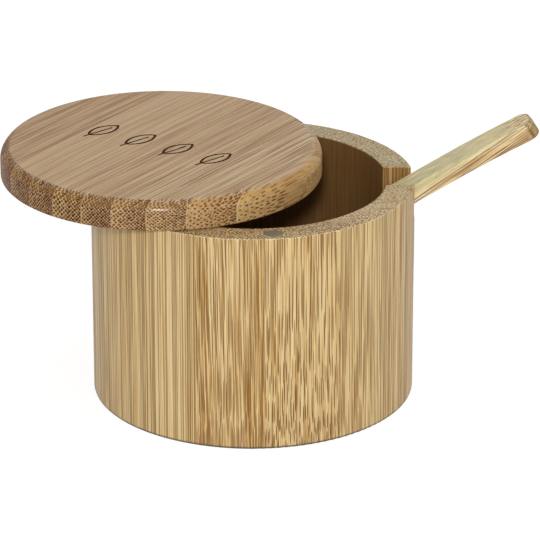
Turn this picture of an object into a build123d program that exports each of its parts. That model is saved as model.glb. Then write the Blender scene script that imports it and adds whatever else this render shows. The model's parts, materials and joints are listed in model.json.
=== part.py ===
from build123d import *
import math
import os

# Round bamboo salt box with a swivelling lid, standing part of the way open with its spoon in the notch.
# Millimetres, +Z up. The origin is the centre of the cup's underside and +X runs out through the notch.
# Bearings are degrees from +X, anticlockwise as seen from above.

# Cup
CUP_RADIUS = 44.5
CUP_HEIGHT = 61.4
CUP_WALL = 7.7
CUP_FLOOR = 6.0
FLOOR_CORNER = 2.5
FOOT_EASE = 0.6
RIM_EASE = 0.35

# Spoon notch in the rim: play beside the handle, room between handle and lid, round lower corners
NOTCH_SIDE_GAP = 1.7
NOTCH_LID_GAP = 0.7
NOTCH_CORNER = 3.4

# Lid, glued up from strips that run along the lid's own Y
LID_INSET = 0.25
LID_THICKNESS = 8.1
LID_TOP_ROUND = 3.5
LID_UNDER_EASE = 0.4
LID_GAP = 0.2

# Widths of the lid's strips, from its low-X edge on; a larger or smaller lid takes wider or narrower strips
STRIP_WIDTHS = [2.75, 9.3, 9.3, 9.7, 9.4, 9.3, 8.5, 8.6, 8.5, 8.3, 4.85]

# How far the lid stands swung open, turned clockwise from closed
LID_SWING = 36.7

# Row of engraved leaves on the lid
LEAF_COUNT = 4
LEAF_PITCH = 12.7
LEAF_LENGTH = 11.4
LEAF_WIDTH = 5.8
LEAF_STROKE = 0.75
LEAF_VEIN = 0.6
LEAF_STEM = 1.6
LEAF_VEIN_SHARE = 0.55
LEAF_SLANT = 14.0
LEAF_ROW_Y = -1.0
ENGRAVING_DEPTH = 0.35

# Upright pivot pin, pressed into the wall and running in a blind bore in the lid
PIVOT_BEARING = 95.7
PIN_RADIUS = 1.5
PIN_IN_WALL = 16.0
PIN_ROOF = 2.3
PIN_CLEARANCE = 0.05
PIN_END_GAP = 0.3
PIN_CHAMFER = 0.25

# Magnet discs, one in the rim and one in the lid, opposite the pivot
MAGNET_RADIUS = 2.5
MAGNET_THICKNESS = 3.0
MAGNET_CLEARANCE = 0.05
MAGNET_RECESS = 0.1
MAGNET_CHAMFER = 0.15

# Spoon: head, neck and a straight shank through the notch, then a handle that bends down a little
SPOON_LENGTH = 132.0
SPOON_SLOPE = 31.5
SPOON_THICKNESS = 4.9
SPOON_SEAT_GAP = 0.2
SPOON_TOP_EASE = 0.7
SPOON_UNDER_EASE = 0.8
HEAD_SIDE_GAP = 0.4
HEAD_LENGTH = 24.0
HEAD_BELLY_RADIUS = 9.4
HEAD_BELLY_RISE = 0.1
SHOULDER_LENGTH = 14.0
NECK_WIDTH = 7.4
NECK_THICKNESS = 3.6
NECK_LENGTH = 42.6
FLARE_LENGTH = 8.0
HANDLE_WIDTH = 10.0
HANDLE_STRAIGHT = 10.0
HANDLE_BEND_RADIUS = 430.0
HANDLE_END_CORNER = 3.4
HANDLE_END_SLANT = 1.6
BOWL_LENGTH = 18.0
BOWL_WIDTH = 9.6
BOWL_DEPTH = 2.7
BOWL_TIP_MARGIN = 2.8

# A face of the spoon counts as level within this many degrees
LEVEL_WITHIN = 30.0

# Sizes that follow from the ones above
BORE_RADIUS = CUP_RADIUS - CUP_WALL
LID_RADIUS = CUP_RADIUS - LID_INSET
LID_UNDERSIDE = CUP_HEIGHT + LID_GAP
LID_TOP = LID_UNDERSIDE + LID_THICKNESS
PIVOT_CIRCLE = CUP_RADIUS - CUP_WALL / 2
PIN_BORE_DEPTH = LID_THICKNESS - PIN_ROOF
MAGNET_POCKET = MAGNET_THICKNESS + MAGNET_RECESS
SLOPE = math.radians(SPOON_SLOPE)
NOTCH_WIDTH = HANDLE_WIDTH + 2 * NOTCH_SIDE_GAP
HANDLE_IN_NOTCH = (SPOON_THICKNESS + SPOON_SEAT_GAP) / math.cos(SLOPE)
NOTCH_DEPTH = HANDLE_IN_NOTCH + CUP_WALL * math.tan(SLOPE) + NOTCH_LID_GAP
NOTCH_FLOOR = CUP_HEIGHT - NOTCH_DEPTH
HEAD_WIDTH = NOTCH_WIDTH - 2 * HEAD_SIDE_GAP
NECK_START = HEAD_LENGTH + SHOULDER_LENGTH
NECK_END = NECK_START + NECK_LENGTH
HANDLE_START = NECK_END + FLARE_LENGTH
BEND_START = HANDLE_START + HANDLE_STRAIGHT
SEATED = (Align.CENTER, Align.CENTER, Align.MIN)
HUNG = (Align.CENTER, Align.CENTER, Align.MAX)
FROM_LEFT = (Align.MIN, Align.CENTER, Align.MIN)


def on_pivot_circle(bearing):
    """Point half-way through the wall, at a bearing, on the ground."""
    angle = math.radians(bearing)
    return Vector(PIVOT_CIRCLE * math.cos(angle), PIVOT_CIRCLE * math.sin(angle), 0)


PIVOT = on_pivot_circle(PIVOT_BEARING)
LATCH = on_pivot_circle(PIVOT_BEARING - 180)


def edges_at(solid, height):
    """Edges that lie flat at one height."""
    return solid.edges().filter_by_position(Axis.Z, height, height)


def cup_bore():
    """Space inside the cup, rounded where the wall meets the floor."""
    bore = Pos(0, 0, CUP_FLOOR) * Cylinder(BORE_RADIUS, CUP_HEIGHT, align=SEATED)
    return fillet(edges_at(bore, CUP_FLOOR), FLOOR_CORNER)


def notch_cutter():
    """Round-cornered slot from inside the bore out past the wall at bearing 0."""
    slot = Pos(CUP_RADIUS / 2, 0, NOTCH_FLOOR) * Box(CUP_RADIUS, NOTCH_WIDTH, CUP_HEIGHT, align=FROM_LEFT)
    corners = edges_at(slot, NOTCH_FLOOR).filter_by(Axis.X)
    return fillet(corners, NOTCH_CORNER)


def is_notch_edge(edge):
    """True for an edge of the notch on the wall's outer or inner face."""
    middle = edge.center()
    across = math.hypot(middle.X, middle.Y)
    in_notch = middle.X > 0 and abs(middle.Y) <= NOTCH_WIDTH / 2 + RIM_EASE
    on_wall = min(abs(across - CUP_RADIUS), abs(across - BORE_RADIUS)) < RIM_EASE
    return in_notch and on_wall and middle.Z >= NOTCH_FLOOR - RIM_EASE


def cup_body():
    """Turned cup with its notch, pin hole and magnet pocket."""
    cup = Cylinder(CUP_RADIUS, CUP_HEIGHT, align=SEATED)
    cup = fillet(edges_at(cup, 0), FOOT_EASE)
    cup -= cup_bore()
    cup -= notch_cutter()
    rim_edges = edges_at(cup, CUP_HEIGHT)
    notch_edges = cup.edges().filter_by(is_notch_edge)
    cup = fillet(ShapeList(set(rim_edges + notch_edges)), RIM_EASE)
    pin_hole = Cylinder(PIN_RADIUS, PIN_IN_WALL, align=HUNG)
    pocket = Cylinder(MAGNET_RADIUS + MAGNET_CLEARANCE, MAGNET_POCKET, align=HUNG)
    cup -= Pos(PIVOT.X, PIVOT.Y, CUP_HEIGHT) * pin_hole
    cup -= Pos(LATCH.X, LATCH.Y, CUP_HEIGHT) * pocket
    return cup


def pivot_pin():
    """Plain steel pin, chamfered at both ends."""
    length = PIN_IN_WALL + LID_GAP + PIN_BORE_DEPTH - PIN_END_GAP
    pin = Cylinder(PIN_RADIUS, length, align=SEATED)
    pin = chamfer(pin.edges().filter_by(GeomType.CIRCLE), PIN_CHAMFER)
    return Pos(PIVOT.X, PIVOT.Y, CUP_HEIGHT - PIN_IN_WALL) * pin


def magnet():
    """Magnet disc standing on the ground at the centre."""
    disc = Cylinder(MAGNET_RADIUS, MAGNET_THICKNESS, align=SEATED)
    return chamfer(disc.edges().filter_by(GeomType.CIRCLE), MAGNET_CHAMFER)


def cup_magnet():
    """Magnet in the rim, its face just below the wood."""
    return Pos(LATCH.X, LATCH.Y, CUP_HEIGHT - MAGNET_POCKET) * magnet()


def swung(shape):
    """Shape made on the closed lid, turned about the pivot to where the lid stands."""
    return Pos(PIVOT.X, PIVOT.Y, 0) * Rot(0, 0, -LID_SWING) * Pos(-PIVOT.X, -PIVOT.Y, 0) * shape


def leaf_blade(inset):
    """Pointed leaf along Y, its two arcs a distance inside the full outline."""
    half_length = LEAF_LENGTH / 2
    half_width = LEAF_WIDTH / 2
    radius = (half_length ** 2 + half_width ** 2) / (2 * half_width)
    tip = math.sqrt((radius - inset) ** 2 - (radius - half_width) ** 2)
    side = half_width - inset
    right = ThreePointArc((0, -tip), (side, 0), (0, tip))
    left = ThreePointArc((0, tip), (-side, 0), (0, -tip))
    return make_face(Curve() + [right, left])


def leaf():
    """Outlined leaf with its vein and stem, leaning like slanted writing."""
    half_length = LEAF_LENGTH / 2
    vein_top = half_length * LEAF_VEIN_SHARE
    vein_foot = -half_length - LEAF_STEM
    vein = Pos(0, (vein_top + vein_foot) / 2) * Rectangle(LEAF_VEIN, vein_top - vein_foot)
    return Rot(0, 0, -LEAF_SLANT) * (leaf_blade(0) - leaf_blade(LEAF_STROKE) + vein)


def engraving():
    """Grooves of the leaf row, reaching down from the lid's top face."""
    motif = Pos(0, 0, -ENGRAVING_DEPTH) * extrude(leaf(), 2 * ENGRAVING_DEPTH)
    row = []
    for index in range(LEAF_COUNT):
        x = (index - (LEAF_COUNT - 1) / 2) * LEAF_PITCH
        row.append(Pos(x, LEAF_ROW_Y, LID_TOP) * motif)
    return row


def lid_disc():
    """Whole lid as if closed, with its blind pin bore, magnet pocket and engraving."""
    disc = Pos(0, 0, LID_UNDERSIDE) * Cylinder(LID_RADIUS, LID_THICKNESS, align=SEATED)
    disc = fillet(edges_at(disc, LID_TOP), LID_TOP_ROUND)
    disc = fillet(edges_at(disc, LID_UNDERSIDE), LID_UNDER_EASE)
    pin_bore = Cylinder(PIN_RADIUS + PIN_CLEARANCE, PIN_BORE_DEPTH, align=SEATED)
    pocket = Cylinder(MAGNET_RADIUS + MAGNET_CLEARANCE, MAGNET_POCKET, align=SEATED)
    disc -= Pos(PIVOT.X, PIVOT.Y, LID_UNDERSIDE) * pin_bore
    disc -= Pos(LATCH.X, LATCH.Y, LID_UNDERSIDE) * pocket
    for groove in engraving():
        disc -= groove
    return disc


def strip_edges():
    """Lid X of every strip's sides, the strips together filling the lid's whole width."""
    fill = 2 * LID_RADIUS / sum(STRIP_WIDTHS)
    return [-LID_RADIUS + fill * sum(STRIP_WIDTHS[:count]) for count in range(len(STRIP_WIDTHS) + 1)]


def lid_strips():
    """The lid cut along its glue lines."""
    disc = lid_disc()
    sides = strip_edges()
    strips = []
    for left, right in zip(sides, sides[1:]):
        slab = Box(right - left, 2 * LID_RADIUS, LID_THICKNESS, align=FROM_LEFT)
        strips.append(swung(disc & (Pos(left, 0, LID_UNDERSIDE) * slab)))
    return strips


def lid_magnet():
    """Magnet in the lid's underside, over the rim's magnet when the lid is shut."""
    return swung(Pos(LATCH.X, LATCH.Y, LID_UNDERSIDE + MAGNET_RECESS) * magnet())


def spoon_side():
    """Slab wider and longer than the spoon that has its shape as seen from the side."""
    over = HANDLE_BEND_RADIUS + SPOON_THICKNESS
    bend = (SPOON_LENGTH - BEND_START + SPOON_THICKNESS) / HANDLE_BEND_RADIUS
    start = -SPOON_THICKNESS
    fall = 1 - math.cos(bend)
    top_end = (BEND_START + over * math.sin(bend), SPOON_THICKNESS - over * fall)
    under_end = (BEND_START + HANDLE_BEND_RADIUS * math.sin(bend), -HANDLE_BEND_RADIUS * fall)
    profile = [
        Polyline((BEND_START, 0), (start, 0), (start, SPOON_THICKNESS), (HEAD_LENGTH, SPOON_THICKNESS)),
        Spline((HEAD_LENGTH, SPOON_THICKNESS), (NECK_START, NECK_THICKNESS), tangents=[(1, 0), (1, 0)]),
        Line((NECK_START, NECK_THICKNESS), (NECK_END, NECK_THICKNESS)),
        Spline((NECK_END, NECK_THICKNESS), (HANDLE_START, SPOON_THICKNESS), tangents=[(1, 0), (1, 0)]),
        Line((HANDLE_START, SPOON_THICKNESS), (BEND_START, SPOON_THICKNESS)),
        TangentArc((BEND_START, SPOON_THICKNESS), top_end, tangent=(1, 0)),
        Line(top_end, under_end),
        TangentArc((BEND_START, 0), under_end, tangent=(1, 0)),
    ]
    return extrude(Plane.XZ * make_face(Curve() + profile), HEAD_WIDTH, both=True)


def spoon_outline():
    """Spoon seen from above, in its own frame: tip at 0, handle end at the full length."""
    head = HEAD_WIDTH / 2
    neck = NECK_WIDTH / 2
    hand = HANDLE_WIDTH / 2
    short_side = SPOON_LENGTH - HANDLE_END_SLANT
    half = [
        CenterArc((head, 0), head, 90, 90),
        Line((head, head), (HEAD_LENGTH, head)),
        Spline((HEAD_LENGTH, head), (NECK_START, neck), tangents=[(1, 0), (1, 0)]),
        Line((NECK_START, neck), (NECK_END, neck)),
        Spline((NECK_END, neck), (HANDLE_START, hand), tangents=[(1, 0), (1, 0)]),
    ]
    other_half = [mirror(edge, Plane.XZ) for edge in half]
    handle = Polyline((HANDLE_START, hand), (short_side, hand), (SPOON_LENGTH, -hand), (HANDLE_START, -hand))
    outline = make_face(Curve() + half + other_half + handle.edges())
    end_corners = outline.vertices().sort_by(Axis.X)[-2:]
    return fillet(end_corners, HANDLE_END_CORNER)


def bowl_hollow():
    """Spindle that scoops the bowl out of the head's top."""
    girth = (BOWL_WIDTH ** 2 / 4 + BOWL_DEPTH ** 2) / (2 * BOWL_DEPTH)
    sweep_radius = (BOWL_LENGTH ** 2 / 4 + BOWL_DEPTH ** 2) / (2 * BOWL_DEPTH)
    half = math.sqrt(sweep_radius ** 2 - (sweep_radius - girth) ** 2)
    arc = ThreePointArc((-half, 0), (0, -girth), (half, 0))
    spindle = revolve(Plane.XZ * make_face(Curve() + [arc, Line((half, 0), (-half, 0))]), Axis.X)
    centre = BOWL_TIP_MARGIN + BOWL_LENGTH / 2
    return Pos(centre, 0, SPOON_THICKNESS - BOWL_DEPTH + girth) * spindle


def head_shaving():
    """Wood taken off under the head to round its belly, fading out along the shoulder."""
    belly = HEAD_BELLY_RADIUS
    flank = belly + SPOON_THICKNESS
    profile = [
        Polyline((NECK_START, flank), (NECK_START, 0), (-belly, 0), (-belly, belly), (HEAD_LENGTH, belly)),
        Spline((HEAD_LENGTH, belly), (NECK_START, flank), tangents=[(1, 0), (1, 1)]),
    ]
    form = revolve(Plane.XZ * make_face(Curve() + profile), Axis.X)
    form = Pos(0, 0, belly + HEAD_BELLY_RISE) * form
    under = Box(NECK_START + belly, 2 * HEAD_WIDTH, SPOON_THICKNESS, align=FROM_LEFT)
    return Pos(-belly, 0, -SPOON_THICKNESS / 2) * under - form


def edges_of_flats(body, up):
    """Edges round the faces that lie nearly level and look up, for 1, or down, for -1."""
    nearly_level = math.cos(math.radians(LEVEL_WITHIN))
    return body.faces().filter_by(lambda face: face.normal_at().Z * up > nearly_level).edges()


def spoon_in_hand():
    """Spoon in its own frame: tip at the origin, shank along +X, underside on the ground."""
    column = Pos(0, 0, -SPOON_THICKNESS) * extrude(spoon_outline(), 3 * SPOON_THICKNESS)
    body = spoon_side() & column
    body = fillet(edges_of_flats(body, -1), SPOON_UNDER_EASE)
    body = fillet(edges_of_flats(body, 1), SPOON_TOP_EASE)
    return body - head_shaving() - bowl_hollow()


def spoon():
    """Spoon resting on the notch's inner edge, its tip down in the far corner of the cup."""
    by_floor = (NOTCH_FLOOR - CUP_FLOOR - SPOON_SEAT_GAP) / math.sin(SLOPE)
    lean = SPOON_THICKNESS * math.sin(SLOPE)
    by_wall = (2 * BORE_RADIUS - lean - SPOON_SEAT_GAP) / math.cos(SLOPE)
    reach = min(by_floor, by_wall)
    return (
        Pos(BORE_RADIUS, 0, NOTCH_FLOOR)
        * Rot(0, -SPOON_SLOPE, 0)
        * Pos(-reach, 0, SPOON_SEAT_GAP)
        * spoon_in_hand()
    )


def write_nodes():
    """One STEP file for each piece."""
    nodes = {
        "cup_body": cup_body(),
        "pivot_pin": pivot_pin(),
        "cup_magnet": cup_magnet(),
        "lid_magnet": lid_magnet(),
        "spoon": spoon(),
    }
    for number, strip in enumerate(lid_strips(), start=1):
        nodes[f"lid_strip_{number:02d}"] = strip
    os.makedirs("parts", exist_ok=True)
    for name, shape in nodes.items():
        export_step(shape, f"parts/{name}.step")


write_nodes()
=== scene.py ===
import json
import math
from collections import namedtuple
from types import SimpleNamespace

import bpy
from mathutils import Matrix, Vector


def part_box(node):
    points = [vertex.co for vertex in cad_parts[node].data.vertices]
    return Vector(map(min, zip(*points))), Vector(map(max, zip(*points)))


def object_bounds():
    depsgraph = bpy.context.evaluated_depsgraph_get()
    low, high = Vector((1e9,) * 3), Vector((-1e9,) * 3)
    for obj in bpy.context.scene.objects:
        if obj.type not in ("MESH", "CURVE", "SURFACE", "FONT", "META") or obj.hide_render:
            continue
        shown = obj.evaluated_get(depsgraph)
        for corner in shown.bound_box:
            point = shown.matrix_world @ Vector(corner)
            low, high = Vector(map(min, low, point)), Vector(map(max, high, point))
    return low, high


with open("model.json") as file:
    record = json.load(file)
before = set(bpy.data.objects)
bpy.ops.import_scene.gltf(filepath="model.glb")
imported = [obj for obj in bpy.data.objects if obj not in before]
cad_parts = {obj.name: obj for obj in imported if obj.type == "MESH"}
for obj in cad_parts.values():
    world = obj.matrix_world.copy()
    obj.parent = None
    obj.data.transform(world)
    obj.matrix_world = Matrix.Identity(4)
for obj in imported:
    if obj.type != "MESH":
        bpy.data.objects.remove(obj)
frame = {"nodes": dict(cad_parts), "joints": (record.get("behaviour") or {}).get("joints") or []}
cad_low, cad_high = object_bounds()

MM = 0.001
ROOT_TWO = math.sqrt(2)
UP = Vector((0, 0, 1))

# What the frame gives: sizes in millimetres, the lid's pivot in metres and its swing in radians
joints = {joint["name"]: joint for joint in frame["joints"]}
CUP_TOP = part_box("cup_body")[1].z / MM
CUP_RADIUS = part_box("cup_body")[1].x / MM
LID_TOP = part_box("lid_strip_06")[1].z / MM
PIVOT = Vector((*joints["lid_swivel"]["pos_m"][:2], 0.0))
LID_SWING = math.radians(joints["lid_swivel"]["range_deg"][1])
LID_FIBRES = Matrix.Rotation(-LID_SWING, 3, "Z") @ Vector((0, 1, 0))
SPOON_AXIS = Vector(joints["spoon_slide"]["axis"])

# What no box of the frame gives: the cup's bore, half the width of its notch and its eased outer edge; how
# far under the rim and inside the outer wall a place lies before it counts as in the bore or the notch; how
# far past the bore its wall still counts; and a point by the lower side of the spoon's handle there
BORE_RADIUS = 36.8
NOTCH_HALF = 6.9
TURNED_MARGIN = 0.2
BORE_MARGIN = 0.3
EASED_EDGE = 0.8
SPOON_SEAT = Vector((BORE_RADIUS, 0.0, 50.0))

# Where the photograph was taken from: turned a little clockwise of straight on to the side of the spoon
CAMERA_AZIMUTH = -2.0
CAMERA_ELEVATION = 22.835
CAMERA_DISTANCE = 1094.6 * MM
CAMERA_TARGET = (4.7225 * MM, 0.0, 33.87 * MM)
CAMERA_LENS = 263.4
CAMERA_SENSOR = 36.0
CAMERA_NEAR = 0.01
CAMERA_FAR = 100.0

# Light: a small key box over the camera, a wide low one to the right and a wide one overhead, each with
# azimuth, elevation and distance from the object, size, and power in watts; then the strength of the pale
# surroundings at the horizon and overhead
SOFT_BOXES = {
    "key_box": (-4.0, 27.5, 1.5, 0.12, 9.3),
    "low_box": (40.0, 10.0, 1.5, 0.9, 2.6),
    "top_box": (0.0, 88.0, 1.5, 1.2, 5.5),
}
SURROUNDINGS_LOW = 0.5
SURROUNDINGS_HIGH = 0.35

# The floor: how far it reaches, how far it lies under the part, its roughness, its colour in plain light
# and where it is seen directly, and how much it glows there
FLOOR_RADIUS = 4.0
FLOOR_DROP = 0.02 * MM
FLOOR_ROUGHNESS = 0.9
FLOOR_COLOUR = 0.8
FLOOR_SEEN_COLOUR = 0.25
FLOOR_SEEN_GLOW = 0.86

# The block that the cup was turned from: layers glued from front to back, each of upright strips. Bearing of
# the layers in degrees, where one of their seams lies, and how far the strips' seams move on from layer to
# layer
LAYER_BEARING = -86.0
LAYER_THICKNESS = 8.7
LAYER_SEAM = 40.0
STRIP_WIDTH = 20.0
STRIP_SEAM = -1.4
STRIP_STAGGER = 7.3

# How the cup's fibres slant through its front layer on their way down: for each millimetre of drop, for each
# square millimetre of it on the right, and sideways on the left; the share of that in the layer behind; how
# much the foot adds below one height and in full below another; and the share that the streaks leave out
FIBRE_SLANT = 0.016
FIBRE_CURVE = 0.00032
FIBRE_LEAN = 0.015
SECOND_LAYER_SHARE = 0.4
FOOT_SLANT = 0.25
FOOT_LOW = 1.0
FOOT_HIGH = 13.0
STREAKS_UPRIGHT = 0.85

# How far fibres wander off their line, over which length, and how far one strip's noise lies from the next
# one's, in millimetres
CUP_WANDER = 0.3
CUP_WANDER_RIGHT = 0.7
CUP_WANDER_ACROSS = 0.25
CUP_WANDER_LENGTH = 30.0
CUP_CHANCE_SPREAD = 50.0
CUP_STRIP_SHIFT = 17.0
LID_WANDER = 0.8
LID_WANDER_LENGTH = 40.0
LID_STRIP_SHIFT = 13.7

# Bundles of fibres, the dark dots of bamboo's end grain: how far apart they are, their radius as a share of
# that, how scattered they are, and how much they differ in size
CUP_PITCH = 0.46
CUP_REACH = 0.36
CUP_SCATTER = 0.8
SPOON_PITCH = 0.85
SPOON_REACH = 0.34
SPOON_SCATTER = 0.7
LARGEST_REACH = 0.5
BUNDLE_SPREAD = 0.3

# Where a bundle's edge and its pale middle start and end, as shares of its radius
BUNDLE_EDGE = (0.8, 1.05)
BUNDLE_MIDDLE = (0.15, 0.5)

# Streaks of the wood from fine to broad, and speckles: width, how much depth and length count in their
# place, and the detail and roughness of the noise. Then their shares in the tone; each wood has its own
# share of the fine ones
Streak = namedtuple("Streak", "width of_depth of_length detail roughness")
FINE = Streak(0.27, 0.25, 0.01, 1.0, 0.5)
LINES = Streak(0.8, 0.25, 0.015, 2.0, 0.6)
BANDS = Streak(3.0, 0.5, 0.02, 2.0, 0.5)
BROAD = Streak(12.0, 0.5, 0.06, 2.0, 0.5)
SPECKLE = Streak(0.36, 0.7, 0.25, 1.0, 0.5)
LINES_SHARE = 0.4
BANDS_SHARE = 0.3
BROAD_SHARE = 0.4
SPECKLE_SHARE = 0.12

# Relief of the grain in millimetres, and what fine streaks and bundles add to the roughness
STREAK_HEIGHT = 0.01
BUNDLE_DEPTH = 0.02
STREAK_ROUGHNESS = 0.12
BUNDLE_ROUGHNESS = 0.06

# The wood of each piece: its tones and the tint of its end grain as a screen shows them, how much its
# bundles differ in strength, the share of fine streaks in its tone, its roughness, its tone and contrast,
# the strength of its bundles on the sides and on end grain, and how speckled its end grain is. What changes
# from place to place on the cup or the lid isn't here but is worked out below
CUP_WOOD = {
    "dark": (158, 112, 44), "middle": (210, 177, 120), "light": (228, 202, 150),
    "edge_tint": (240, 246, 255), "uneven": 0.4, "fine": 1.6, "roughness": 0.38,
}
LID_WOOD = {
    "dark": (144, 110, 76), "middle": (194, 163, 130), "light": (212, 186, 153),
    "fine": 1.1, "roughness": 0.42, "dot_strength": 1.0, "speckle": 0.3,
}
SPOON_WOOD = {
    "dark": (180, 144, 88), "middle": (236, 210, 158), "light": (246, 230, 186),
    "edge_tint": (225, 210, 180), "uneven": 0.4, "fine": 1.4, "roughness": 0.42,
    "tone": 0.04, "contrast": 1.0, "line_strength": 0.7, "dot_strength": 0.7, "speckle": 0.4,
}

# Where the tones sit on the ramp
TONE_STOPS = {"dark": 0.2, "middle": 0.5, "light": 0.8}

# How much the surfaces shine, the roughness of the varnish on the lid's edge, and what the burned engraving
# and the top of the lid add to the wood's roughness
BAMBOO_SHINE = 0.3
LID_SHINE = 0.12
VARNISH_ROUGHNESS = 0.22
BURNED_ROUGHNESS = 0.3
TOP_ROUGHNESS = 0.08

# Bundles and threads in the wood, and tints that it is seen through; the tints of the bore and the notch are
# painted shade
CUP_BUNDLES = (104, 62, 6)
LID_BUNDLES_AT_EDGE = (64, 22, 0)
LID_BUNDLES_ON_TOP = (96, 56, 28)
LID_THREADS = (104, 64, 38)
SPOON_BUNDLES = (126, 82, 36)
# Painted shade: the bore darkened as if shaded
BORE_PAINTED_SHADE_TINT = (155, 134, 114)
# Painted shade: the notch's faces darkened as if shaded
NOTCH_PAINTED_SHADE_TINT = (222, 206, 186)
BACK_RIM_TINT = (240, 246, 255)
LID_COOL_TINT = (248, 250, 244)
LID_WARM_TINT = (250, 248, 247)
ROUNDING_TINT = (250, 246, 230)

# The spoon's greenish skin, from its darkest mottles to its palest, and how much it covers; the painted
# shade on the lower part of its side, how much of it covers the wood, and how much more does near the end
SPOON_SKIN = ((0.32, (162, 162, 118)), (0.5, (202, 194, 148)), (0.66, (232, 210, 160)))
SKIN_STRENGTH = 0.85
# Painted shade: the lower part of the spoon's side darkened towards its end
SPOON_PAINTED_SHADE = (164, 112, 48)
SPOON_PAINTED_SHADE_STRENGTH = 0.45
SPOON_PAINTED_SHADE_MORE = 0.25

# Stains over the wood, and painted highlight and shade laid over it like them: their colour, and how much of
# it they cover
StainOrPaintedLight = namedtuple("StainOrPaintedLight", "colour strength")
FOOT_BLOTCHES = StainOrPaintedLight((150, 104, 66), 0.35)
# Pale fibre ends and a painted highlight on the rim's eased outer edge
EDGE_FIBRES_AND_PAINTED_HIGHLIGHT = StainOrPaintedLight((250, 232, 190), 0.8)
# Painted shade: a dark band along the sole, where the cup meets the floor
SOLE_PAINTED_SHADE = StainOrPaintedLight((62, 52, 42), 0.85)
GLUE_SEAM = StainOrPaintedLight((232, 206, 164), 0.3)
BURNED = StainOrPaintedLight((66, 32, 10), 0.95)
SPOON_VEINS = StainOrPaintedLight((108, 64, 20), 0.8)
SPOON_END = StainOrPaintedLight((152, 146, 100), 0.5)
SPOON_END_RIM = StainOrPaintedLight((84, 72, 34), 0.65)

# The magnets' nickel and the pin's steel: colours, the sizes of scuffs, clouds and turned rings, how much a
# place across the pin counts in its rings, the roughness and what the scuffs or rings add to it, and their
# height
NICKEL_COLOURS = ((116, 110, 98), (142, 134, 120))
SCUFF_SIZE = 0.25
CLOUD_SIZE = 2.0
NICKEL_ROUGHNESS = 0.3
SCUFF_ROUGHNESS = 0.25
SCUFF_HEIGHT = 0.004
STEEL_COLOURS = ((168, 170, 174), (196, 197, 200))
RING_SIZE = 0.12
RING_ACROSS = 0.2
STEEL_ROUGHNESS = 0.22
RING_ROUGHNESS = 0.2
RING_HEIGHT = 0.002

# How squarely a surface faces up or along its fibres where each finish sets in and where it is complete or,
# with UP_TO in the name, where it starts to fade and where it has gone. 1 is squarely; under 0 it faces the
# other way
CUP_END_GRAIN = (0.5, 0.85)
# Where the pale fibre ends and the painted highlight on the rim's eased edge set in and fade
EDGE_FIBRES_AND_PAINTED_HIGHLIGHT_FROM = (0.1, 0.35)
EDGE_FIBRES_AND_PAINTED_HIGHLIGHT_UP_TO = (0.9, 0.99)
LID_TOP_FACE = (0.95, 0.998)
LID_FLAT_FACE = (0.8, 0.998)
LID_END_GRAIN = (0.06, 0.26)
LID_PALE_CORES = (0.25, 0.55)
LID_ROUNDING = (0.2, 0.6)
SPOON_END_GRAIN = (0.6, 0.9)
SPOON_SKIN_SIDE = (-0.6, 0.3)
END_RIM_FROM = (0.42, 0.56)
END_RIM_UP_TO = (0.5, 0.7)

# Marks in the wood: how much each of three coordinates counts in their noise, its size in millimetres, its
# detail, and the levels between which they set in. Then how much nearer the spoon's end brings its veins to
# those levels, how much of them its skin lets through there, and how faint they are far from it
Marks = namedtuple("Marks", "counts size detail levels")
BLOTCH_MARKS = Marks((1.0, 4.0, 0.16), 2.2, 2.0, (0.46, 0.58))
# Ragged pale fibre ends, with their painted highlight, on the rim's eased edge
EDGE_FIBRES_AND_PAINTED_HIGHLIGHT_MARKS = Marks((1.0, 0.3, 0.0), 0.5, 1.0, (0.4, 0.55))
HUE_MARKS = Marks((1.0, 1.0, 0.02), 3.5, 2.0, (0.4, 0.6))
THREAD_MARKS = Marks((1.0, 0.3, 0.01), 0.36, 1.0, (0.62, 0.68))
VEIN_MARKS = Marks((1.0, 0.5, 0.02), 0.36, 1.0, (0.54, 0.6))
VEINS_MORE = 0.03
VEINS_THROUGH_SKIN = 0.6
VEINS_FAINTEST = 0.35

# Mottles of the spoon's skin and chips on its end: their size, how much length counts in the mottles, how
# deep the chips bite, and the detail and roughness of both
MOTTLE_SIZE = 1.3
MOTTLE_LENGTH = 0.2
MOTTLE_DETAIL = 4.0
CHIP_SIZE = 0.7
CHIP_BITE = 0.3
CHIP_DETAIL = 3.0
RAGGED_ROUGHNESS = 0.7

# Where the cup's rim changes from front to back, and how high the painted shade along its sole reaches
FRONT_RIM = (-42.0, -22.0)
BACK_RIM = (-16.0, 6.0)
SOLE = (0.35, 1.05)

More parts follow.
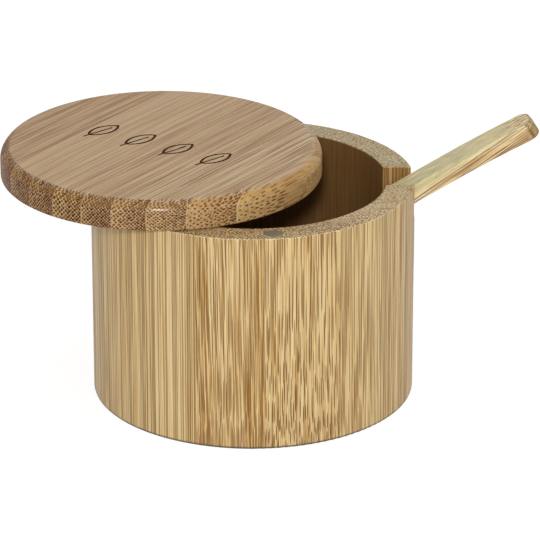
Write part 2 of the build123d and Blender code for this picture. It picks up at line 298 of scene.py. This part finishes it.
# The lid's strips, from its low-X edge on: pitch of the bundles at the left side and at the right, their
# radius, how scattered they are, the tone of the strip's top and of its edge, the blue in the tint of that
# edge, the contrast of the lines on the top, and the varnish on the edge
LidStrip = namedtuple("LidStrip", "wide narrow radius scatter top_tone edge_tone edge_blue contrast varnish")
LID_STRIPS = [
    LidStrip(0.76, 0.56, 0.33, 0.30, -0.04, 0.10, 200, 1.1, 0.0),
    LidStrip(0.76, 0.56, 0.33, 0.25, -0.05, 0.08, 200, 1.2, 0.0),
    LidStrip(0.76, 0.54, 0.33, 0.25, -0.07, 0.08, 200, 1.1, 0.0),
    LidStrip(0.78, 0.56, 0.34, 0.25, 0.06, 0.12, 200, 0.9, 0.0),
    LidStrip(0.88, 0.60, 0.37, 0.25, 0.05, 0.12, 200, 0.9, 0.0),
    LidStrip(1.02, 0.72, 0.43, 0.20, 0.01, 0.22, 200, 1.1, 0.0),
    LidStrip(0.80, 0.57, 0.34, 0.20, 0.03, 0.14, 200, 1.1, 0.0),
    LidStrip(0.88, 0.56, 0.32, 0.30, -0.01, 0.14, 200, 1.4, 0.0),
    LidStrip(0.70, 0.54, 0.26, 0.35, 0.07, 0.14, 192, 1.9, 0.35),
    LidStrip(1.00, 0.56, 0.22, 0.50, 0.09, 0.12, 192, 1.9, 0.1),
    LidStrip(1.05, 0.66, 0.20, 0.55, 0.03, 0.18, 192, 1.2, 0.1),
]

# The red and green in the tint of those edges, how much an edge tone adds to them, and how much it takes
# off the blue
LID_EDGE_RED = 222
LID_EDGE_GREEN = 208
EDGE_TONE_ADDS = 80
EDGE_TONE_TAKES = 50

# What changes on the lid's top: how much smaller and fainter its bundles are, and how blurred; how pale the
# bundles' cores are on the rounding; and how far they thin out in one part of the top
FAINTER_ON_TOP = 0.35
BLURRED_ON_TOP = 0.15
CORE_PALENESS = 0.75
THINNED_SHARE = 0.65

# Places on the lid as if it were shut: how far under its top its bundles are counted from; where they thin
# out; the width of a pale glue seam; and the field and the heights under the top of the engraving
BUNDLES_START = 4.0
THINNED_X = (26.0, 34.0)
THINNED_Y = (-6.0, 10.0)
SEAM_WIDTH = (0.05, 0.22)
ENGRAVED_HALF_X = 27.0
ENGRAVED_HALF_Y = 12.0
ENGRAVED_FROM = 0.06
ENGRAVED_TO = 0.5

# The spoon's grain and the upper side of its handle, in degrees from the shank; how far over the handle's
# lower side its skin sets in, how ragged that is and how far it sinks; where the painted shade on the lower
# part of its side sets in; and the stretches along the spoon where the skin sinks, that painted shade and
# the veins show, and the end begins
GRAIN_TURN = -4.5
HANDLE_TURN = -2.0
QUARTER_TURN = 90.0
SKIN_EDGE = (1.2, 3.0)
SKIN_RAGGED = 4.5
SKIN_SINKS = 0.8
SPOON_PAINTED_SHADE_EDGE = (1.2, -0.6)
SKIN_SINKS_ALONG = (75.0, 115.0)
SPOON_PAINTED_SHADE_ALONG = (76.0, 104.0)
VEINS_ALONG = (68.0, 92.0)
NEAR_END_ALONG = (92.0, 112.0)


def linear(colour):
    """A colour of 0 to 255 on a screen as the light that it stands for."""
    def one(level):
        level /= 255
        return level / 12.92 if level <= 0.04045 else ((level + 0.055) / 1.055) ** 2.4
    return (*(one(level) for level in colour), 1.0)


class Wire:
    """One output of a shader node. Sums on it add the nodes that work them out."""

    def __init__(self, nodes, socket):
        self.nodes = nodes
        self.socket = socket

    def __getitem__(self, name):
        return Wire(self.nodes, self.socket.node.outputs[name])

    def __add__(self, other):
        return self.nodes.maths("ADD", self, other)

    __radd__ = __add__

    def __sub__(self, other):
        return self.nodes.maths("SUBTRACT", self, other)

    def __rsub__(self, other):
        return self.nodes.maths("SUBTRACT", other, self)

    def __mul__(self, other):
        return self.nodes.maths("MULTIPLY", self, other)

    __rmul__ = __mul__

    def __truediv__(self, other):
        return self.nodes.maths("DIVIDE", self, other)

    def __rtruediv__(self, other):
        return self.nodes.maths("DIVIDE", other, self)

    def __pow__(self, other):
        return self.nodes.maths("POWER", self, other)

    def __abs__(self):
        return self.nodes.maths("ABSOLUTE", self)

    def __floor__(self):
        return self.nodes.maths("FLOOR", self)

    def __gt__(self, other):
        return self.nodes.maths("GREATER_THAN", self, other)

    def __lt__(self, other):
        return self.nodes.maths("LESS_THAN", self, other)


class Nodes:
    """A node tree that is filled from empty."""

    def __init__(self, tree):
        self.tree = tree
        self.tree.nodes.clear()

    def node(self, kind, settings=None, sockets=None, output=0):
        """Adds one node and gives one of its outputs, if it has any."""
        made = self.tree.nodes.new(kind)
        for name, value in (settings or {}).items():
            if name == "stops":
                self.set_stops(made.color_ramp, value)
            else:
                setattr(made, name, value)
        for name, value in (sockets or {}).items():
            if isinstance(value, Wire):
                self.tree.links.new(value.socket, made.inputs[name])
            else:
                made.inputs[name].default_value = value
        return Wire(self, made.outputs[output]) if made.outputs else None

    @staticmethod
    def set_stops(ramp, stops):
        while len(ramp.elements) < len(stops):
            ramp.elements.new(1.0)
        for element, (position, colour) in zip(ramp.elements, stops):
            element.position = position
            element.color = linear(colour)

    def maths(self, operation, *terms):
        return self.node("ShaderNodeMath", {"operation": operation}, dict(enumerate(terms)))

    def mix(self, share, first, second, way="MIX"):
        """First colour at share 0, second at 1."""
        settings = {"data_type": "RGBA", "blend_type": way}
        return self.node("ShaderNodeMix", settings, {0: share, 6: first, 7: second}, 2)

    def tint(self, share, colour, tint):
        """The colour as seen through a tint, by this share."""
        return self.mix(share, colour, self.mix(1.0, colour, tint, "MULTIPLY"))

    def stain_or_painted_light(self, place, colour, stain_or_painted_light):
        """The colour with a stain, painted highlight or painted shade laid over it at a place."""
        return self.mix(place * stain_or_painted_light.strength, colour, linear(stain_or_painted_light.colour))

    def ramp(self, stops, place):
        return self.node("ShaderNodeValToRGB", {"stops": stops}, {0: place})

    def between(self, value, low, high, start=0.0, end=1.0):
        """Start below low, end above high, and a smooth step from one to the other."""
        sockets = {"Value": value, "From Min": low, "From Max": high, "To Min": start, "To Max": end}
        return self.node("ShaderNodeMapRange", {"interpolation_type": "SMOOTHSTEP"}, sockets)

    def vector(self, x, y, z=0.0):
        return self.node("ShaderNodeCombineXYZ", None, {0: x, 1: y, 2: z})

    def parts(self, place):
        split = self.node("ShaderNodeSeparateXYZ", None, {0: place})
        return split["X"], split["Y"], split["Z"]

    def noise(self, place, size=1.0, detail=2.0, roughness=0.5):
        sockets = {"Vector": place, "Scale": 1 / size, "Detail": detail, "Roughness": roughness}
        return self.node("ShaderNodeTexNoise", {"noise_dimensions": "3D"}, sockets)

    def here(self):
        """The point on the piece, in millimetres of the frame."""
        place = self.node("ShaderNodeTexCoord")["Object"]
        return self.node("ShaderNodeVectorMath", {"operation": "SCALE"}, {0: place, "Scale": 1 / MM})

    def normal(self):
        return self.node("ShaderNodeTexCoord")["Normal"]

    def reach_along(self, direction, place):
        """How far a point lies, or a normal leans, along a direction."""
        sockets = {0: place, 1: tuple(direction)}
        return self.node("ShaderNodeVectorMath", {"operation": "DOT_PRODUCT"}, sockets, "Value")

    def facing(self, direction):
        """How squarely the surface faces along a direction or against it, from 0 to 1."""
        return abs(self.reach_along(direction, self.normal()))


class Finish(Nodes):
    """One material while it is being made."""

    def __init__(self, name):
        self.material = bpy.data.materials.new(name)
        self.material.use_nodes = True
        super().__init__(self.material.node_tree)

    def shade(self, **sockets):
        """Ends the material in a shader with these sockets."""
        named = {name.replace("_", " "): value for name, value in sockets.items()}
        surface = self.node("ShaderNodeBsdfPrincipled", None, named)
        self.node("ShaderNodeOutputMaterial", None, {"Surface": surface})
        return self.material

    def shade_grain(self, colour, roughness, height, **sockets):
        """Ends it in a shader with a grain of this height, in millimetres."""
        bump = self.node("ShaderNodeBump", None, {"Distance": MM, "Strength": 1.0, "Height": height})
        return self.shade(Base_Color=colour, Roughness=roughness, Normal=bump, **sockets)


def bundles(finish, depth, cross, reach, scatter, core=0.0, soft=0.0):
    """Bundles of fibres in the end grain, at a pitch of 1: 1 inside one, and a chance number for each.
    Core is how pale the middle of a bundle is, soft how blurred its edge."""
    place = finish.vector((depth + cross) / ROOT_TWO, (cross - depth) / ROOT_TWO)
    settings = {"voronoi_dimensions": "2D", "feature": "F1"}
    sockets = {"Vector": place, "Scale": 1.0, "Randomness": scatter}
    cells = finish.node("ShaderNodeTexVoronoi", settings, sockets)
    chance, odd, _ = finish.parts(cells["Color"])
    reach = reach * (1 - BUNDLE_SPREAD / 2 + chance * BUNDLE_SPREAD)
    near, far = BUNDLE_EDGE
    bundle = finish.between(cells["Distance"], reach * (near - soft), reach * (far + soft), 1.0, 0.0)
    near, far = BUNDLE_MIDDLE
    middle = finish.between(cells["Distance"], reach * near, reach * far, 1.0, 0.0)
    return bundle * (1 - middle * core), odd


def marks(finish, place, kind, more=0.0):
    """1 where marks of a kind show at three coordinates in the wood. More makes more of them show."""
    counted = [coordinate * count for coordinate, count in zip(place, kind.counts)]
    level = finish.noise(finish.vector(*counted), kind.size, kind.detail)
    return finish.between(level + more, *kind.levels)


def streaks(finish, depth, cross, along, streak):
    place = finish.vector(depth * streak.of_depth, cross, along * streak.of_length)
    return finish.noise(place, streak.width, streak.detail, streak.roughness)


def bamboo(finish, depth, cross, along, end, dots, odd, wood):
    """Colour, roughness and height of bamboo at a place in its stock. End is how much of the end grain
    shows, dots where a bundle is and odd what sets it apart from its neighbours."""
    sizes = (FINE, LINES, BANDS, BROAD, SPECKLE)
    fine, lines, bands, broad, speckle = (streaks(finish, depth, cross, along, size) for size in sizes)
    shades = (fine - 0.5) * wood["fine"] + (lines - 0.5) * LINES_SHARE
    shades = shades + (bands - 0.5) * BANDS_SHARE + (broad - 0.5) * BROAD_SHARE
    speckled = (speckle - 0.5) * (SPECKLE_SHARE + end * wood["speckle"])
    tone = 0.5 + wood["tone"] + wood["contrast"] * shades + speckled
    colour = finish.ramp([(position, wood[name]) for name, position in TONE_STOPS.items()], tone)
    colour = finish.tint(wood.get("edge", end), colour, linear(wood["edge_tint"]))
    strength = wood["line_strength"] + end * (wood["dot_strength"] - wood["line_strength"])
    strength = dots * strength * (1 - wood["uneven"] + odd * wood["uneven"])
    colour = finish.mix(strength, colour, wood["bundle"])
    roughness = wood["roughness"] + fine * STREAK_ROUGHNESS + dots * BUNDLE_ROUGHNESS
    height = fine * STREAK_HEIGHT + lines * STREAK_HEIGHT - dots * BUNDLE_DEPTH
    return colour, roughness, height


def cup_stock(finish, x, y, z):
    """Where a point of the cup lies in the block that it was turned from."""
    bearing = math.radians(LAYER_BEARING)
    depth = x * math.cos(bearing) + y * math.sin(bearing)
    cross = y * math.cos(bearing) - x * math.sin(bearing)
    layer = math.floor((depth - LAYER_SEAM) / LAYER_THICKNESS)
    strip = math.floor((cross - STRIP_SEAM + layer * STRIP_STAGGER) / STRIP_WIDTH)
    settings = {"noise_dimensions": "2D"}
    chance = finish.node("ShaderNodeTexWhiteNoise", settings, {"Vector": finish.vector(layer, strip)})
    red, green, blue = finish.parts(chance["Color"])
    front = layer > -0.5
    right = cross > STRIP_SEAM
    behind = (layer > -1.5) * (1 - front) * (x > 0)
    drop = CUP_TOP - z
    foot = finish.between(drop, CUP_TOP - FOOT_HIGH, CUP_TOP - FOOT_LOW)
    slant = FIBRE_SLANT * drop + right * FIBRE_CURVE * drop * drop + foot * FOOT_SLANT
    fall = (front + behind * SECOND_LAYER_SHARE) * slant
    lean = front * (1 - right) * drop * FIBRE_LEAN
    strip_line = finish.vector(red * CUP_CHANCE_SPREAD, green * CUP_CHANCE_SPREAD, z)
    drift = finish.noise(strip_line, size=CUP_WANDER_LENGTH, detail=1.0)
    wander = (drift - 0.5) * (CUP_WANDER + front * right * CUP_WANDER_RIGHT)
    sideways = (drift["Color"] - 0.5) * CUP_WANDER_ACROSS
    return SimpleNamespace(
        depth=depth + wander + fall,
        streak_depth=depth + wander + fall - fall * STREAKS_UPRIGHT,
        cross=cross + sideways - lean + red * CUP_STRIP_SHIFT,
        grade=(depth - LAYER_SEAM) / LAYER_THICKNESS - layer,
        chance=blue,
        front=front,
        right=right,
        foot=foot,
        far_left=cross < STRIP_SEAM - STRIP_WIDTH,
        middle=abs(cross - STRIP_SEAM) < STRIP_WIDTH,
        far_right=cross > STRIP_SEAM + STRIP_WIDTH,
    )


def foot_blotches(finish, stock, z):
    """Jagged darker blotches that the slanting cut shows on the front of the foot."""
    return stock.foot * stock.front * marks(finish, (stock.cross, stock.depth, z), BLOTCH_MARKS)


def edge_fibres_and_painted_highlight(finish, stock, across, z, upright):
    """Pale ends of fibres along the eased outer edge of the rim, together with a painted highlight there."""
    edge = (z > CUP_TOP - EASED_EDGE) * (across > CUP_RADIUS - EASED_EDGE)
    edge = edge * finish.between(upright, *EDGE_FIBRES_AND_PAINTED_HIGHLIGHT_FROM) * finish.between(upright, *EDGE_FIBRES_AND_PAINTED_HIGHLIGHT_UP_TO, 1.0, 0.0)
    return edge * marks(finish, (stock.cross, stock.depth, z), EDGE_FIBRES_AND_PAINTED_HIGHLIGHT_MARKS)


def cup_bamboo():
    """Turned cup: fibres upright, layers stacked from front to back, darker inside with painted shade."""
    finish = Finish("cup_bamboo")
    x, y, z = finish.parts(finish.here())
    stock = cup_stock(finish, x, y, z)
    across = (x * x + y * y) ** 0.5
    upright = finish.facing(UP)
    end = finish.between(upright, *CUP_END_GRAIN)
    under_rim = z < CUP_TOP - TURNED_MARGIN
    notch = (x > 0) * (abs(y) < NOTCH_HALF) * under_rim * (across < CUP_RADIUS - TURNED_MARGIN)
    inside = (across < BORE_RADIUS + BORE_MARGIN) * under_rim * (1 - notch)
    front_rim = end * finish.between(y, *FRONT_RIM, 1.0, 0.5)
    back_rim = end * finish.between(y, *BACK_RIM)
    sparse = stock.front * stock.right * (1 - end)

    pitch = CUP_PITCH * (1 + end * 0.6 + sparse * 0.2)
    reach = CUP_REACH + stock.grade * 0.06 + end * 0.02 - sparse * 0.05
    scatter = CUP_SCATTER - end * 0.35
    dots, odd = bundles(finish, stock.depth / pitch, stock.cross / pitch, reach, scatter)
    wood = {
        **CUP_WOOD,
        "bundle": linear(CUP_BUNDLES),
        "tone": (stock.chance - 0.5) * 0.12 + front_rim * 0.2
        + stock.far_left * 0.14 + stock.far_right * 0.05,
        # Painted shade in the bore: its grain is flattened as well as darkened
        "contrast": 0.85 + stock.front * stock.middle * 0.25 - inside * 0.4,
        "line_strength": 0.76 - inside * 0.6 + sparse * 0.14,
        "dot_strength": front_rim * 1.5,
        "speckle": front_rim * 3.0,
    }
    colour, roughness, height = bamboo(finish, stock.streak_depth, stock.cross, z, end, dots, odd, wood)

    # Pale fibre ends and a painted highlight along the rim's eased edge
    fibres_and_painted_highlight = edge_fibres_and_painted_highlight(finish, stock, across, z, upright) * (1 - dots)
    # Painted shade along the sole, where the cup meets the floor
    sole = finish.between(z, *SOLE, 1.0, 0.0)
    colour = finish.stain_or_painted_light(foot_blotches(finish, stock, z), colour, FOOT_BLOTCHES)
    # Painted shade: the bore darkened as if shaded
    colour = finish.tint(inside, colour, linear(BORE_PAINTED_SHADE_TINT))
    # Painted shade on the notch's faces
    colour = finish.tint(notch, colour, linear(NOTCH_PAINTED_SHADE_TINT))
    colour = finish.tint(back_rim, colour, linear(BACK_RIM_TINT))
    colour = finish.stain_or_painted_light(fibres_and_painted_highlight, colour, EDGE_FIBRES_AND_PAINTED_HIGHLIGHT)
    colour = finish.stain_or_painted_light(sole, colour, SOLE_PAINTED_SHADE)
    return finish.shade_grain(colour, roughness, height, Specular_IOR_Level=BAMBOO_SHINE)


def lid_place(finish):
    """The point on the lid as if it were shut, in millimetres."""
    sockets = {"Vector": finish.here(), "Center": PIVOT / MM, "Angle": LID_SWING}
    return finish.parts(finish.node("ShaderNodeVectorRotate", {"rotation_type": "Z_AXIS"}, sockets))


def lid_stock(finish, number, left, right):
    """Where a point of a lid strip lies in its own wood, and how squarely the surface faces up there."""
    seed = number * LID_STRIP_SHIFT
    x, y, z = lid_place(finish)
    drift = finish.noise(finish.vector(seed, 0.0, y), size=LID_WANDER_LENGTH, detail=1.0)
    inward = x + (drift - 0.5) * LID_WANDER - left
    upright = finish.facing(UP)
    return SimpleNamespace(
        seed=seed,
        x=x,
        y=y,
        z=z,
        width=right - left,
        inward=inward,
        across=inward + seed,
        height=z - (LID_TOP - BUNDLES_START) + (drift["Color"] - 0.5) * LID_WANDER,
        grade=inward / (right - left),
        upright=upright,
        top=finish.between(upright, *LID_TOP_FACE),
        flat=finish.between(upright, *LID_FLAT_FACE),
    )


def lid_strip_bundles(finish, strip, stock):
    """Bundles that crowd towards the right side of a strip, with paler cores where it is rounded over."""
    shrink = (strip.narrow - strip.wide) / stock.width
    pitch = strip.wide + shrink * stock.inward
    steps = finish.maths("LOGARITHM", pitch, math.e) / shrink + stock.seed
    fainter = 1 - stock.top * FAINTER_ON_TOP
    reach = finish.maths("MINIMUM", strip.radius / pitch, LARGEST_REACH) * fainter
    core = finish.between(stock.upright, *LID_PALE_CORES) * (1 - stock.top) * CORE_PALENESS
    soft = stock.top * BLURRED_ON_TOP
    dots, odd = bundles(finish, steps, stock.height / pitch, reach, strip.scatter, core, soft)
    thinned = finish.between(stock.x, *THINNED_X) * finish.between(stock.y, *THINNED_Y)
    return dots * (1 - thinned * THINNED_SHARE) * fainter, odd


def engraving(stock):
    """1 in the lid's engraving, which is burned, and 0 around it."""
    field = (abs(stock.x) < ENGRAVED_HALF_X) * (abs(stock.y) < ENGRAVED_HALF_Y)
    return field * (stock.z < LID_TOP - ENGRAVED_FROM) * (stock.z > LID_TOP - ENGRAVED_TO)


def lid_strip_bamboo(number, left, right):
    """One strip of the lid: fibres along it, dots on its ends and thin lines on its top."""
    finish = Finish(f"lid_bamboo_{number:02d}")
    strip = LID_STRIPS[number - 1]
    stock = lid_stock(finish, number, left, right)
    top, flat, grade = stock.top, stock.flat, stock.grade
    end = finish.between(finish.facing(LID_FIBRES), *LID_END_GRAIN)
    dots, odd = lid_strip_bundles(finish, strip, stock)
    paler = strip.edge_tone * EDGE_TONE_ADDS
    blue = strip.edge_blue - strip.edge_tone * EDGE_TONE_TAKES
    wood = {
        **LID_WOOD,
        "edge": 1 - flat,
        "edge_tint": (LID_EDGE_RED + paler, LID_EDGE_GREEN + paler, blue),
        "uneven": 0.3 + top * 0.5,
        "bundle": finish.mix(top, linear(LID_BUNDLES_AT_EDGE), linear(LID_BUNDLES_ON_TOP)),
        "contrast": 0.9 + top * (strip.contrast * 0.9 - 0.9),
        "tone": strip.top_tone + (1 - flat) * (strip.edge_tone - strip.top_tone + 0.06 - grade * 0.2),
        "line_strength": (0.25 + grade * 0.65) * (0.4 + strip.contrast * 0.5),
    }
    colour, roughness, height = bamboo(finish, stock.height, stock.across, stock.y, end, dots, odd, wood)

    place = (stock.across, stock.height, stock.y)
    hues = finish.mix(marks(finish, place, HUE_MARKS), linear(LID_COOL_TINT), linear(LID_WARM_TINT))
    threads = marks(finish, place, THREAD_MARKS) * flat * (strip.contrast * 0.5 - 0.1)
    rounding = finish.between(stock.upright, *LID_ROUNDING) * (1 - flat)
    burned = engraving(stock)
    colour = finish.tint(flat, colour, hues)
    colour = finish.mix(threads, colour, linear(LID_THREADS))
    colour = finish.tint(rounding, colour, linear(ROUNDING_TINT))
    colour = finish.stain_or_painted_light(finish.between(stock.inward, *SEAM_WIDTH, 1.0, 0.0), colour, GLUE_SEAM)
    colour = finish.stain_or_painted_light(burned, colour, BURNED)
    roughness = roughness + burned * BURNED_ROUGHNESS + top * TOP_ROUGHNESS
    coat = {"Coat_Weight": (1 - top) * strip.varnish, "Coat_Roughness": VARNISH_ROUGHNESS}
    return finish.shade_grain(colour, roughness, height, Specular_IOR_Level=LID_SHINE, **coat)


def spoon_direction(degrees):
    """The spoon's axis turned in its upright plane."""
    return Matrix.Rotation(math.radians(degrees), 3, "Y") @ SPOON_AXIS


def spoon_bamboo():
    """Carved spoon: fibres along it, the pale greenish outer side of the stem on top, painted shade low on
    its side.
    """
    finish = Finish("spoon_bamboo")
    grain = spoon_direction(GRAIN_TURN)
    up = spoon_direction(GRAIN_TURN - QUARTER_TURN)
    handle_up = spoon_direction(HANDLE_TURN - QUARTER_TURN)
    place = finish.here()
    along = finish.reach_along(grain, place)
    depth = finish.reach_along(up, place)
    cross = finish.parts(place)[1]
    squarely = finish.facing(grain)
    end = finish.between(squarely, *SPOON_END_GRAIN)
    dots, odd = bundles(finish, depth / SPOON_PITCH, cross / SPOON_PITCH, SPOON_REACH, SPOON_SCATTER)
    wood = {**SPOON_WOOD, "bundle": linear(SPOON_BUNDLES)}
    colour, roughness, height = bamboo(finish, depth, cross, along, end, dots, odd, wood)

    mottle = finish.vector(depth, cross, along * MOTTLE_LENGTH)
    mottle = finish.noise(mottle, MOTTLE_SIZE, MOTTLE_DETAIL, RAGGED_ROUGHNESS)
    rise = finish.reach_along(handle_up, place) - handle_up.dot(SPOON_SEAT)
    above = rise + (mottle - 0.5) * SKIN_RAGGED - finish.between(along, *SKIN_SINKS_ALONG) * SKIN_SINKS
    upward = finish.reach_along(up, finish.normal())
    skin = finish.between(above, *SKIN_EDGE) * finish.between(upward, *SPOON_SKIN_SIDE)
    # Painted shade: the lower part of the side darkened towards the end, as if turned away from the light
    lower_side_painted_shade = finish.between(above, *SPOON_PAINTED_SHADE_EDGE) * finish.between(along, *SPOON_PAINTED_SHADE_ALONG)
    near_end = finish.between(along, *NEAR_END_ALONG)
    veins = marks(finish, (depth, cross, along), VEIN_MARKS, near_end * VEINS_MORE)
    veins = veins * (1 - skin * (1 - near_end * VEINS_THROUGH_SKIN))
    veins = veins * finish.between(along, *VEINS_ALONG, VEINS_FAINTEST, 1.0)
    chips = finish.noise(place, CHIP_SIZE, CHIP_DETAIL, RAGGED_ROUGHNESS)
    end_rim = finish.between(squarely + chips * CHIP_BITE, *END_RIM_FROM)
    end_rim = end_rim * finish.between(squarely, *END_RIM_UP_TO, 1.0, 0.0)
    lower_side_painted_shade = lower_side_painted_shade * (SPOON_PAINTED_SHADE_STRENGTH + near_end * SPOON_PAINTED_SHADE_MORE)
    colour = finish.mix(skin * SKIN_STRENGTH, colour, finish.ramp(SPOON_SKIN, mottle))
    colour = finish.mix(lower_side_painted_shade, colour, linear(SPOON_PAINTED_SHADE))
    colour = finish.stain_or_painted_light(veins, colour, SPOON_VEINS)
    colour = finish.stain_or_painted_light(end, colour, SPOON_END)
    colour = finish.stain_or_painted_light(end_rim, colour, SPOON_END_RIM)
    return finish.shade_grain(colour, roughness, height, Specular_IOR_Level=BAMBOO_SHINE)


def magnet_nickel():
    """Dull nickel plating with fine scuffs."""
    finish = Finish("magnet_nickel")
    place = finish.here()
    scuffs = finish.noise(place, SCUFF_SIZE, detail=3.0, roughness=0.7)
    clouds = finish.noise(place, CLOUD_SIZE, detail=2.0)
    dark, light = NICKEL_COLOURS
    colour = finish.mix(clouds, linear(dark), linear(light))
    roughness = NICKEL_ROUGHNESS + scuffs * SCUFF_ROUGHNESS
    return finish.shade_grain(colour, roughness, scuffs * SCUFF_HEIGHT, Metallic=1.0)


def pin_steel():
    """Bright drawn steel with fine turned rings."""
    finish = Finish("pin_steel")
    x, y, z = finish.parts(finish.here())
    rings = finish.noise(finish.vector(x * RING_ACROSS, y * RING_ACROSS, z), RING_SIZE, detail=2.0)
    dark, light = STEEL_COLOURS
    colour = finish.mix(rings, linear(dark), linear(light))
    roughness = STEEL_ROUGHNESS + rings * RING_ROUGHNESS
    return finish.shade_grain(colour, roughness, rings * RING_HEIGHT, Metallic=1.0)


def dress(node, material):
    frame["nodes"][node].material_slots[0].material = material


def strip_sides(node):
    """Least and greatest X of a lid strip when the lid is shut, in millimetres."""
    turn = Matrix.Rotation(LID_SWING, 3, "Z")
    across = [(turn @ (v.co - PIVOT) + PIVOT).x / MM for v in frame["nodes"][node].data.vertices]
    return min(across), max(across)


def aim(obj, place, target):
    obj.location = place
    obj.rotation_mode = "QUATERNION"
    obj.rotation_quaternion = (Vector(target) - Vector(place)).to_track_quat("-Z", "Y")


def towards(azimuth, elevation):
    """Unit direction from the object to a viewer; azimuth 0 stands on the -Y side."""
    a, e = math.radians(azimuth), math.radians(elevation)
    return Vector((math.sin(a) * math.cos(e), -math.cos(a) * math.cos(e), math.sin(e)))


def add_camera():
    data = bpy.data.cameras.new("camera")
    data.lens = CAMERA_LENS
    data.sensor_width = CAMERA_SENSOR
    data.clip_start = CAMERA_NEAR
    data.clip_end = CAMERA_FAR
    camera = bpy.data.objects.new("camera", data)
    bpy.context.scene.collection.objects.link(camera)
    target = Matrix.Rotation(math.radians(CAMERA_AZIMUTH), 3, "Z") @ Vector(CAMERA_TARGET)
    aim(camera, target + CAMERA_DISTANCE * towards(CAMERA_AZIMUTH, CAMERA_ELEVATION), target)
    bpy.context.scene.camera = camera


def add_soft_box(name, azimuth, elevation, distance, size, power):
    data = bpy.data.lights.new(name, "AREA")
    data.shape = "RECTANGLE"
    data.size = size
    data.size_y = size
    data.energy = power
    box = bpy.data.objects.new(name, data)
    bpy.context.scene.collection.objects.link(box)
    middle = (cad_low + cad_high) / 2
    aim(box, middle + distance * towards(azimuth, elevation), middle)


def seen_directly(tree):
    """1 where the eye, a reflection or a view through glass falls on the surroundings, 0 for plain light."""
    path = tree.node("ShaderNodeLightPath")
    mirrored = tree.maths("MAXIMUM", path["Is Camera Ray"], path["Is Glossy Ray"])
    return tree.maths("MAXIMUM", mirrored, path["Is Transmission Ray"])


def add_surroundings():
    world = bpy.data.worlds.new("surroundings")
    bpy.context.scene.world = world
    world.use_nodes = True
    sky = Nodes(world.node_tree)
    height = abs(sky.parts(sky.node("ShaderNodeTexCoord")["Generated"])[2])
    glow = SURROUNDINGS_LOW + height * (SURROUNDINGS_HIGH - SURROUNDINGS_LOW)
    seen = seen_directly(sky)
    strength = seen + (1 - seen) * glow
    background = sky.node("ShaderNodeBackground", None, {"Color": (1, 1, 1, 1), "Strength": strength})
    sky.node("ShaderNodeOutputWorld", None, {"Surface": background})


def add_floor():
    """Pale floor that keeps the object's shadow and shows white where nothing shades it."""
    finish = Finish("pale_floor")
    seen = seen_directly(finish)
    plain = (FLOOR_COLOUR, FLOOR_COLOUR, FLOOR_COLOUR, 1)
    pale = (FLOOR_SEEN_COLOUR, FLOOR_SEEN_COLOUR, FLOOR_SEEN_COLOUR, 1)
    glow = finish.mix(seen, (0, 0, 0, 1), (1, 1, 1, 1))
    finish.shade(
        Base_Color=finish.mix(seen, plain, pale),
        Roughness=FLOOR_ROUGHNESS,
        Specular_IOR_Level=0.0,
        Emission_Color=glow,
        Emission_Strength=FLOOR_SEEN_GLOW,
    )
    mesh = bpy.data.meshes.new("floor")
    r = FLOOR_RADIUS
    mesh.from_pydata([(-r, -r, 0), (r, -r, 0), (r, r, 0), (-r, r, 0)], [], [(0, 1, 2, 3)])
    mesh.materials.append(finish.material)
    floor = bpy.data.objects.new("floor", mesh)
    bpy.context.scene.collection.objects.link(floor)
    floor.location.z = -FLOOR_DROP


add_camera()
for name, box in SOFT_BOXES.items():
    add_soft_box(name, *box)
add_surroundings()
add_floor()

dress("cup_body", cup_bamboo())
for number in range(1, len(LID_STRIPS) + 1):
    node = f"lid_strip_{number:02d}"
    dress(node, lid_strip_bamboo(number, *strip_sides(node)))
dress("spoon", spoon_bamboo())
nickel = magnet_nickel()
dress("cup_magnet", nickel)
dress("lid_magnet", nickel)
dress("pivot_pin", pin_steel())

bpy.context.scene.view_settings.view_transform = "Standard"
